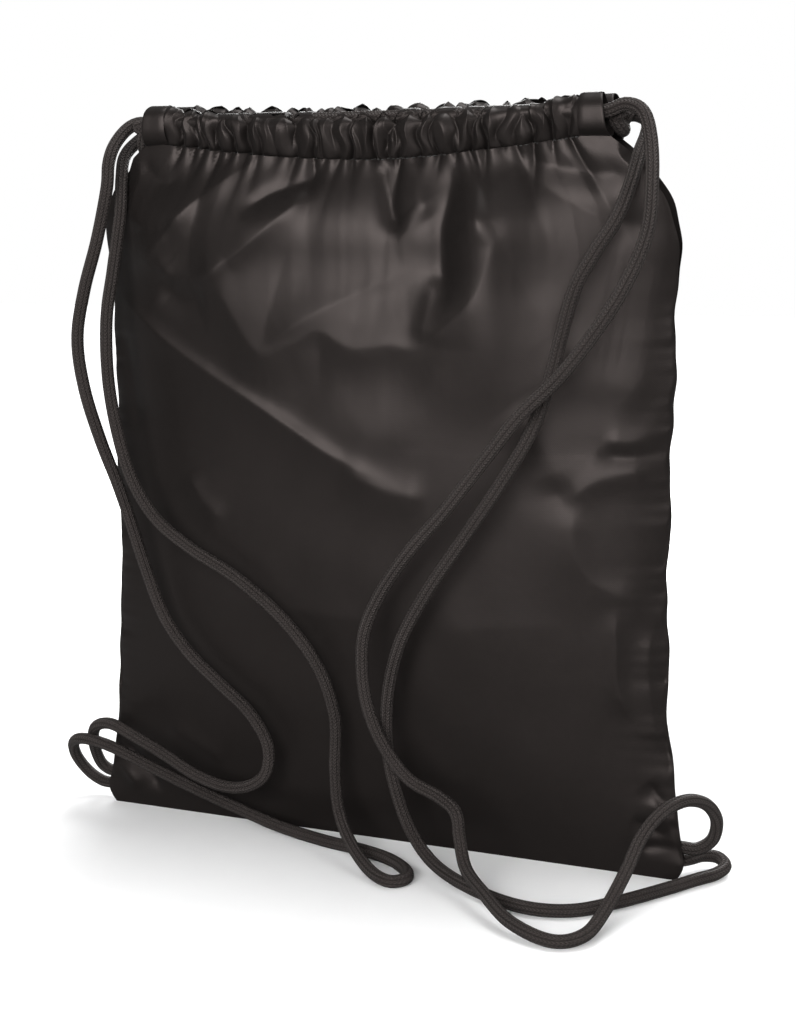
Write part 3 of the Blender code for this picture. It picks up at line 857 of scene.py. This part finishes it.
def satin(name, dark, light, roughness):
    """Polyester satin: a fine diagonal twill, faint slubs and crinkle, and a soft sheen."""
    n = Nodes(name)
    place = n.add("ShaderNodeTexCoord").outputs["Object"]
    u, v = n.uv()
    slant = n.math("ADD", u, v)
    rib = n.math("SINE", n.math("MULTIPLY", slant, math.tau / TWILL))
    weft = n.math("SINE", n.math("MULTIPLY", v, math.tau / (TWILL * 0.8)))
    weave = n.math("ADD", n.math("MULTIPLY", rib, 0.6), n.math("MULTIPLY", weft, 0.4))
    cloud = n.noise(place, 9.0, 4.0)
    slub = n.noise(place, 260.0, 2.0)
    tint = n.math("ADD", n.math("MULTIPLY", cloud, 0.7), n.math("MULTIPLY", slub, 0.3))
    thread = n.math("MULTIPLY_ADD", weave, 0.10, tint)
    n.put(n.shader.inputs["Base Color"], n.mix(thread, dark, light))
    rough = n.math("MULTIPLY_ADD", cloud, 0.10, roughness - 0.05)
    n.put(n.shader.inputs["Roughness"], n.math("MULTIPLY_ADD", slub, 0.06, rough))
    n.fix({"Specular IOR Level": 0.24, "Specular Tint": (1.0, 0.86, 0.82, 1)})
    n.fix({"Sheen Weight": 0.02, "Sheen Roughness": 0.35, "Sheen Tint": (1.0, 0.93, 0.90, 1)})
    crinkle = n.noise(place, 70.0, 3.0, 0.4)
    coarse = n.bump(crinkle, 0.10, 0.0012)
    n.put(n.shader.inputs["Normal"], n.bump(weave, 0.12, 0.0001, coarse))
    return n.material


def braid(name):
    """A braided cord: lengthwise ribs of small slanted stitches that meet in a herringbone, with painted
    shade in the grooves between them.
    """
    n = Nodes(name)
    place = n.add("ShaderNodeTexCoord").outputs["Object"]
    u, v = n.uv()
    rib_at = n.math("MULTIPLY", u, BRAID_RIBS)
    across = n.math("ABSOLUTE", n.math("SUBTRACT", n.math("FRACT", rib_at), 0.5))
    slant = n.math("MULTIPLY_ADD", across, 1.6, n.math("MULTIPLY", v, 1 / BRAID_STITCH))
    stitch = n.math("ABSOLUTE", n.math("SUBTRACT", n.math("FRACT", slant), 0.5))
    groove = n.math("SMOOTH_MIN", n.math("MULTIPLY", n.math("SUBTRACT", 0.5, across), 4.0), 1.0, 0.4)
    tuft = n.math("MULTIPLY", n.math("SUBTRACT", 1.0, n.math("MULTIPLY", stitch, 1.4)), groove)
    fuzz = n.noise(place, 1500.0, 2.0)
    cloud = n.noise(place, 30.0, 2.0)
    # Base colour: painted shade, darkest in the grooves between ribs and stitches and lightest on the stitch
    # crowns, over a random mottle.
    groove_shade_and_mottle = n.math("MULTIPLY_ADD", tuft, 0.75, n.math("MULTIPLY", cloud, 0.3))
    n.put(n.shader.inputs["Base Color"], n.mix(groove_shade_and_mottle, (0.0008, 0.0007, 0.0006, 1), (0.044, 0.037, 0.035, 1)))
    n.put(n.shader.inputs["Roughness"], n.math("MULTIPLY_ADD", fuzz, 0.15, 0.52))
    n.fix({"Specular IOR Level": 0.22, "Specular Tint": (1.0, 0.88, 0.84, 1)})
    n.fix({"Sheen Weight": 0.03, "Sheen Roughness": 0.5, "Sheen Tint": (1.0, 0.94, 0.90, 1)})
    height = n.math("MULTIPLY_ADD", fuzz, 0.15, tuft)
    n.put(n.shader.inputs["Normal"], n.bump(height, 1.0, 0.0009))
    return n.material


def thread_look(name, colour):
    """Sewing thread, darker between its plies."""
    n = Nodes(name)
    place = n.add("ShaderNodeTexCoord").outputs["Object"]
    ply = n.noise(place, 2600.0, 2.0, 0.6)
    shade = tuple(0.35 * c for c in colour[:3]) + (1,)
    n.put(n.shader.inputs["Base Color"], n.mix(ply, shade, colour))
    n.put(n.shader.inputs["Roughness"], n.math("MULTIPLY_ADD", ply, 0.2, 0.5))
    n.fix({"Sheen Weight": 0.1})
    n.put(n.shader.inputs["Normal"], n.bump(ply, 0.4, 0.0002))
    return n.material


def floor_look():
    """White paper to the eye, but it throws little light back up, and it glows away from the sack."""
    n = Nodes("studio_floor")
    place = n.add("ShaderNodeTexCoord").outputs["Object"]
    seen = n.add("ShaderNodeLightPath").outputs["Is Camera Ray"]
    grain = n.noise(place, 40.0, 3.0)
    paper = n.mix(grain, (0.87, 0.87, 0.875, 1), (0.90, 0.90, 0.90, 1))
    n.put(n.shader.inputs["Base Color"], n.mix(seen, (0.24, 0.24, 0.24, 1), paper))
    n.fix({"Roughness": 0.9, "Specular IOR Level": 0.1, "Emission Color": (1, 1, 1, 1)})
    distance = n.add("ShaderNodeVectorMath", operation="LENGTH")
    n.put(distance.inputs[0], place)
    away = n.add("ShaderNodeMapRange", interpolation_type="SMOOTHSTEP")
    n.wired(away, {"Value": distance.outputs["Value"], "From Min": 0.15, "From Max": 0.50, "To Max": 0.7})
    n.put(n.shader.inputs["Emission Strength"], n.math("MULTIPLY", away.outputs["Result"], seen))
    return n.material


SATIN = satin("black_satin", *BLACK, 0.40)
SATIN_CASING = satin("black_satin_casing", *BLACK, 0.41)
LINING = satin("black_seam_allowance", (0.006, 0.0055, 0.005, 1), (0.011, 0.010, 0.009, 1), 0.55)
BRAID = braid("black_braid")
THREAD = thread_look("black_thread", (0.016, 0.0145, 0.0135, 1))

# ---------------- build: cords


def dress(obj, body, slot, *nodes):
    """A piece that rides one body."""
    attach(obj, body)
    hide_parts(*nodes)


def dress_mouth(obj, word, slot, *nodes):
    """A piece that replaces frame parts on one side of the mouth: its placement is baked in and the parts are
    hidden.
    """
    follow_mouth(obj)
    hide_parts(*nodes)


def strap(name):
    path = strap_path(name)
    PATHS[name] = path
    made = closed_tube(f"{name}_braid", path, CORD / 2, TUBE_TURNS, BRAID)
    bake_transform(made)
    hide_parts(name)


def loop(word):
    """The turn of one cord between the two casings, riding with the other end's drawcord body."""
    low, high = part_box(f"{word}_cord_loop")
    side = 1 if word == "left" else -1
    spread = (high[1] - low[1]) / 2 - CORD / 2
    cord_z = high[2] - CORD / 2
    inner = (low[0] if side > 0 else high[0]) + side * LOOP_TUCK
    droop = math.radians(60)
    steps = 10
    points = [(inner, SEAM_Y - spread, cord_z), (side * MOUTH_HALF, SEAM_Y - spread, cord_z)]
    for step in range(1, steps):
        angle = math.pi * step / steps
        out = spread * math.sin(angle)
        points.append(
            (
                side * (MOUTH_HALF + out * math.cos(droop)),
                SEAM_Y - spread * math.cos(angle),
                cord_z - out * math.sin(droop),
            )
        )
    points += [(side * MOUTH_HALF, SEAM_Y + spread, cord_z), (inner, SEAM_Y + spread, cord_z)]
    made = closed_tube(f"{word}_cord_turn", evenly(points, 0.0014), CORD / 2, TUBE_TURNS, BRAID)
    dress(made, f"{word}_drawcord", "cord_braid", f"{word}_cord_loop")


def feed(word, face):
    """The straight run of a cord inside one casing half."""
    node = f"{word}_cord_feed_{face}"
    low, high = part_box(node)
    y, z = (low[1] + high[1]) / 2, (low[2] + high[2]) / 2
    spans = 24
    path = [(low[0] + (high[0] - low[0]) * k / spans, y, z) for k in range(spans + 1)]
    made = closed_tube(f"{node}_braid", path, CORD / 2, TUBE_TURNS, BRAID)
    dress_mouth(made, word, "cord_braid", node)


for name in STRAP_ROUTES:
    strap(name)
for word, _ in SIDES:
    loop(word)
    for face in ("front", "rear"):
        feed(word, face)

# ---------------- build: cloth



def panel(face, points, uv, cut):
    """Both halves of a panel; cut, its flat height, is not used."""
    title = TITLE[face]
    for word, piece in halves(f"{title}_satin", points, uv, SATIN, (0, SIGN[face], 0)).items():
        dress_mouth(piece, word, "satin_panel", f"{title}_panel")


def casing(face):
    """Both halves of a casing, and the hem bands at its ends."""
    title = TITLE[face]
    points, uv = casing_grid(face, np.linspace(-HEM_START, HEM_START, 681))
    for word, piece in halves(f"{title}_gathers", points, uv, SATIN_CASING, (0, SIGN[face], 0)).items():
        dress_mouth(piece, word, "satin_casing", f"{title}_casing_{word}")
    row, quarter = 3, CASING_TURNS // 4  # a place on the band's outside, where its normals have to point away
    for word, side in SIDES:
        points, uv = hem_grid(face, side)
        normals = grid_normals(points)
        away = points[row][quarter] - points[row].mean(0)
        if normals[row, quarter] @ away < 0:
            points, uv, normals = points[::-1], uv[::-1], -normals[::-1]
        piece = grid_object(f"{title}_hem_band_{word}", points, uv, SATIN_CASING, normals)
        dress_mouth(piece, word, "satin_casing", f"{title}_{word}_hem")


panel("near", *near_grid(), NEAR_CUT)
casing("near")
panel("far", *far_grid(), FAR_CUT)
casing("far")

# ---------------- build: stitches, seam allowances, corner tacks


def thread_runs(name, runs, radius, look):
    """Many short lengths of thread as one mesh."""
    points, faces, uvs = [], [], []
    count = 0
    for path in runs:
        grid, uv = tube_grid(path, radius, 6, lambda share: 0.35 + 0.65 * math.sin(math.pi * share) ** 0.4)
        faces.append(quads(*grid.shape[:2], count))
        points.append(grid.reshape(-1, 3))
        uvs.append(uv.reshape(-1, 2))
        count += len(points[-1])
    mesh = smooth_mesh(name, np.vstack(points), np.vstack(uvs), np.vstack(faces), look)
    close_tubes(mesh)
    return placed(name, mesh)


def casing_stitches(face, word, side):
    """The row of stitches that closes a casing against its panel."""
    runs = []
    proud = 0.0006 * np.cos(np.linspace(-1, 1, 5) * math.pi / 2)
    for k in range(int(HEM_START / STITCH_PITCH)):
        x = side * (0.0008 + np.linspace(k, k + STITCH_SHARE, 5) * STITCH_PITCH)
        z, depth = tip_line(x, face)
        runs.append(np.stack([x, SEAM_Y + SIGN[face] * (depth + 0.0001 + proud), z - 0.0002], -1))
    made = thread_runs(f"{TITLE[face]}_casing_stitches_{word}", runs, 0.00034, THREAD)
    follow_mouth(made)


def allowance(name, node, inner, outer, word=None):
    """A seam's turned-in edges: a wavy strip of two plies, whipped along its raw edge with overlock thread.

    inner is its raw edge and outer its sewn one. word, if given, has the pieces baked in place instead of
    tied to the root.
    """
    out = np.array((0, 1, 0), float)
    shares = (0, 0.3, 0.7, 1, 1, 0.7, 0.3, 0, 0)
    lifts = (-1, -1.3, -1.1, -0.6, 0.6, 1.1, 1.3, 1, -1)  # in plies' half thickness, round the strip
    along = np.concatenate([[0], np.cumsum(np.linalg.norm(np.diff(inner, axis=0), axis=1))])
    wave = 0.00012 * np.sin(along * 900)[:, None]
    rows, uvs = [], []
    for share, lift in zip(shares, lifts):
        rows.append(inner + (outer - inner) * share + out * (lift * 0.00035 + wave * (1 - share)))
        uvs.append(np.stack([np.full(len(inner), share * 0.008), along], -1))
    points, uv = np.stack(rows, 1), np.stack(uvs, 1)
    strip = grid_object(name, points, uv, LINING)
    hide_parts(node)
    whip = []
    step = outer - inner
    for k in range(0, len(inner) - 2, 2):
        a, b = inner[k] + out * 0.0005, inner[k + 1] + 0.4 * step[k + 1] + out * 0.0005
        c, d = inner[k + 1] - out * 0.0005, inner[k + 2] + out * 0.0005
        whip.append(evenly(np.array([a, b]), 0.0008))
        whip.append(evenly(np.array([b, c * 0.5 + b * 0.5, d]), 0.0008))
    thread = thread_runs(f"{name}_overlock", whip, 0.00020, THREAD)
    for piece in (strip, thread):
        if word:
            follow_mouth(piece)
        else:
            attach(piece, "root")


def corner_tack(word):
    """The cord's two ends caught in the bottom corner under a block of bar-tack stitches."""
    low, high = (np.array(corner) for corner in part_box(f"{word}_cord_anchor"))
    middle, half = (low + high) / 2, (high - low) / 2
    around = np.linspace(0, math.tau, 49)
    flat = np.ones(around.shape)
    round_x = np.sign(np.cos(around)) * np.abs(np.cos(around)) ** 0.6
    round_y = np.sign(np.sin(around)) * np.abs(np.sin(around)) ** 0.6
    rows, uvs = [], []
    levels = np.linspace(-1, 1, 61)
    for k, level in enumerate(levels):
        close = min(1, (1 - abs(level)) * 7 + 0.35) if abs(level) < 1 else 0.0
        wrap = 0.93 * close * (1 + 0.035 * math.cos(math.pi * k))
        x = middle[0] + half[0] * wrap * round_x
        y = middle[1] + half[1] * wrap * round_y
        z = flat * (middle[2] + half[2] * 0.97 * level) + 0.0003 * np.sin(around * 2)
        rows.append(np.stack([x, y, z], -1))
        uvs.append(np.stack([around / math.tau, flat * level], -1))
    points, uv = np.array(rows), np.array(uvs)
    waist = len(levels) // 2
    if grid_normals(points)[waist, 0] @ (points[waist, 0] - middle) < 0:
        points, uv = points[::-1], uv[::-1]
    made = grid_object(f"{word}_corner_tack", points, uv, THREAD)
    dress(made, "root", "sewing_thread", f"{word}_cord_anchor")


for word, side in SIDES:
    for face in SIGN:
        casing_stitches(face, word, side)
    heights = np.linspace(0.031, 0.329, SEAM_POINTS)
    edge = half_width(heights)
    flat = np.full(heights.shape, SEAM_Y + SEAM_MIDDLE)
    raw, sewn = (np.stack([side * (edge - inside), flat, heights], -1) for inside in (SEAM_RAW, SEAM_SEWN))
    allowance(f"{word}_side_allowance", f"{word}_side_seam", raw, sewn, word)
    corner_tack(word)
across = np.linspace(-0.149, 0.149, SEAM_POINTS)
flat = np.full(across.shape, SEAM_Y + SEAM_MIDDLE)
raw, sewn = (np.stack([across, flat, np.full(across.shape, height)], -1) for height in (0.0097, 0.0021))
allowance("bottom_allowance", "bottom_seam", raw, sewn)

# ---------------- floor, light, camera

bpy.ops.mesh.primitive_plane_add(size=12)
floor = bpy.context.active_object
floor.name = "floor"
floor.data.materials.append(floor_look())


def softbox(name, place, aim, width, height, power):
    data = bpy.data.lights.new(name, "AREA")
    data.shape = "RECTANGLE"
    data.size = width
    data.size_y = height
    data.energy = power
    made = placed(name, data)
    made.location = place
    made.rotation_mode = "QUATERNION"
    made.rotation_quaternion = (Vector(aim) - Vector(place)).to_track_quat("-Z", "Y")


softbox("key", (0.12, -1.35, 0.60), (0, 0, 0.27), 1.0, 0.8, 29)
softbox("right_strip", (1.25, -0.55, 0.8), (0, 0, 0.25), 0.4, 1.0, 5)
softbox("rear", (-0.25, 1.5, 0.70), (0, 0.05, 0.22), 1.1, 0.9, 26)
softbox("left_fill", (-1.5, -1.1, 0.8), (0, 0, 0.2), 0.8, 1.0, 1)
sun_data = bpy.data.lights.new("overhead", "SUN")
sun_data.energy = 2.25
sun_data.angle = math.radians(32)
sun = placed("overhead", sun_data)
sun.location = (0, 0, 2)
sun.rotation_euler = (math.radians(-13), math.radians(8), 0)

world = bpy.data.worlds.new("studio")
bpy.context.scene.world = world
world.use_nodes = True
sky = world.node_tree
backdrop = sky.nodes["Background"]
backdrop.inputs["Color"].default_value = (1, 1, 1, 1)
backdrop.inputs["Strength"].default_value = 0.12
seen = sky.nodes.new("ShaderNodeBackground")
seen.inputs["Color"].default_value = (1, 1, 1, 1)
seen.inputs["Strength"].default_value = 1.0
choose = sky.nodes.new("ShaderNodeMixShader")
sky.links.new(sky.nodes.new("ShaderNodeLightPath").outputs["Is Camera Ray"], choose.inputs[0])
sky.links.new(backdrop.outputs[0], choose.inputs[1])
sky.links.new(seen.outputs[0], choose.inputs[2])
sky.links.new(choose.outputs[0], sky.nodes["World Output"].inputs[0])

bpy.context.scene.view_settings.view_transform = "Standard"

camera_data = bpy.data.cameras.new("camera")
camera_data.sensor_width = 36
camera_data.lens = 52.64
camera = placed("camera", camera_data)
camera.location = (0.299, SEAM_Y - 0.787, 0.348)
camera.rotation_euler = (math.radians(79.5), 0, math.radians(20))
bpy.context.scene.camera = camera
